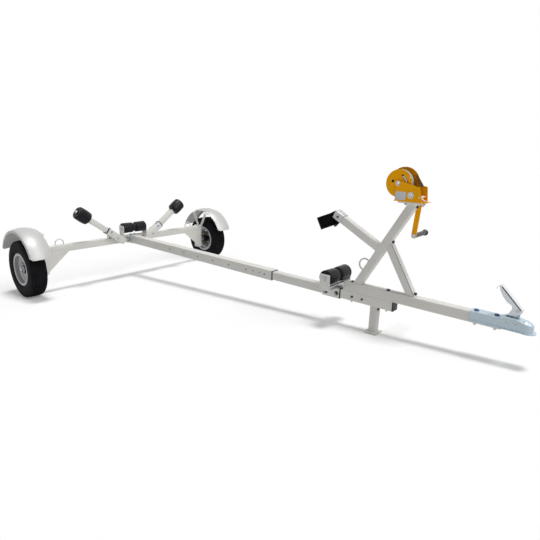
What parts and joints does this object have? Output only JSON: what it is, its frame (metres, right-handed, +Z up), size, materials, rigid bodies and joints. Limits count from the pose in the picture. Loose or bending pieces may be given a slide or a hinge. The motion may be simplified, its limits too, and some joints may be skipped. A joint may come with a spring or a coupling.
{
  "type": "boat trailer",
  "caption": "Light bolt-together boat trailer with two wheels, fenders, keel and side rollers, a hand winch on a post, a parking leg and a ball coupler.",
  "frame": {"origin": "on the ground, at the middle of the whole trailer seen from above", "axes": "+X forward to the coupler, +Y left, +Z up"},
  "size_m": [3.2922, 1.826, 0.8631],
  "materials": {
    "tyre": "moulded rubber",
    "rim_silver": "silver paint, satin",
    "hub_black": "black paint",
    "frame_paint": "warm grey powder coat",
    "fender_silver": "silver white paint",
    "roller_rubber": "smooth rubber",
    "black_plastic": "moulded plastic",
    "zinc": "zinc plated",
    "winch_amber": "amber zinc passivate",
    "grip_plastic": "moulded plastic"
  },
  "bodies": {
    "root": {"axle_tube": "frame_paint", "hub_carrier_left": "frame_paint", "spindle_left": "zinc", "hub_carrier_right": "frame_paint", "spindle_right": "zinc", "beam_rear_tube": "frame_paint", "beam_front_tube": "frame_paint", "beam_end_cap": "black_plastic", "tongue_tube": "frame_paint", "beam_root_bracket": "frame_paint", "fender_left": "fender_silver", "fender_stay_left": "frame_paint", "fender_right": "fender_silver", "fender_stay_right": "frame_paint", "rear_roller_bracket": "frame_paint", "front_roller_bracket": "frame_paint", "rear_roller_pin": "zinc", "front_roller_pin": "zinc", "side_arm_sleeve_left": "frame_paint", "side_arm_left": "frame_paint", "side_arm_bracket_left": "frame_paint", "side_arm_sleeve_right": "frame_paint", "side_arm_right": "frame_paint", "side_arm_bracket_right": "frame_paint", "side_arm_collars": "black_plastic", "parking_leg": "frame_paint", "winch_post": "frame_paint", "post_brace": "frame_paint", "bow_stop_arm": "frame_paint", "bow_stop_bracket": "frame_paint", "bow_stop_pad": "roller_rubber", "axle_tie_loops": "frame_paint", "post_tie_loop": "frame_paint", "winch_mount_plate": "frame_paint", "winch_frame": "winch_amber", "ratchet_pawl": "zinc", "coupler_body": "zinc"},
    "wheel_left": {"rim_left": "rim_silver", "tyre_left": "tyre", "hub_left": "hub_black"},
    "wheel_right": {"rim_right": "rim_silver", "tyre_right": "tyre", "hub_right": "hub_black"},
    "rear_roller": {"rear_keel_roller": "roller_rubber"},
    "front_roller": {"front_keel_roller": "roller_rubber"},
    "side_roller_left": {"side_roller_left": "roller_rubber"},
    "side_roller_right": {"side_roller_right": "roller_rubber"},
    "drum": {"winch_drum": "winch_amber", "drum_gear": "zinc"},
    "crank": {"crank_shaft": "zinc", "crank_arm": "winch_amber"},
    "grip": {"crank_grip": "grip_plastic"},
    "latch": {"coupler_latch": "zinc"}
  },
  "joints": [
    {"name": "wheel_spin_left", "type": "hinge", "parent": "root", "child": "wheel_left", "pos_m": [-1.39015, 0.845, 0.205], "axis": [0, 1, 0], "continuous": true},
    {"name": "wheel_spin_right", "type": "hinge", "parent": "root", "child": "wheel_right", "pos_m": [-1.39015, -0.845, 0.205], "axis": [0, 1, 0], "continuous": true},
    {"name": "rear_roller_spin", "type": "hinge", "parent": "root", "child": "rear_roller", "pos_m": [-1.33956, 0, 0.4103], "axis": [0, 1, 0], "continuous": true},
    {"name": "front_roller_spin", "type": "hinge", "parent": "root", "child": "front_roller", "pos_m": [0.65243, 0, 0.28381], "axis": [0, 1, 0], "continuous": true},
    {"name": "side_roller_spin_left", "type": "hinge", "parent": "root", "child": "side_roller_left", "pos_m": [-1.31422, 0.43729, 0.54655], "axis": [0.0358, 0.809, 0.5867], "continuous": true},
    {"name": "side_roller_spin_right", "type": "hinge", "parent": "root", "child": "side_roller_right", "pos_m": [-1.31422, -0.43729, 0.54655], "axis": [0.0358, -0.809, 0.5867], "continuous": true},
    {"name": "drum_spin", "type": "hinge", "parent": "root", "child": "drum", "pos_m": [1.01574, 0, 0.78713], "axis": [0, 1, 0], "continuous": true},
    {"name": "crank_spin", "type": "hinge", "parent": "root", "child": "crank", "pos_m": [1.08063, 0, 0.73222], "axis": [0, 1, 0], "continuous": true},
    {"name": "grip_spin", "type": "hinge", "parent": "crank", "child": "grip", "pos_m": [1.05276, 0.153, 0.52307], "axis": [0, 1, 0], "continuous": true},
    {"name": "latch_hinge", "type": "hinge", "parent": "root", "child": "latch", "pos_m": [1.56929, 0, 0.25344], "axis": [0, 1, 0], "range_deg": [-47, 0]}
  ],
  "couplings": [
    {"joint": "crank_spin", "follows": "drum_spin", "ratio": -3.25}
  ]
}
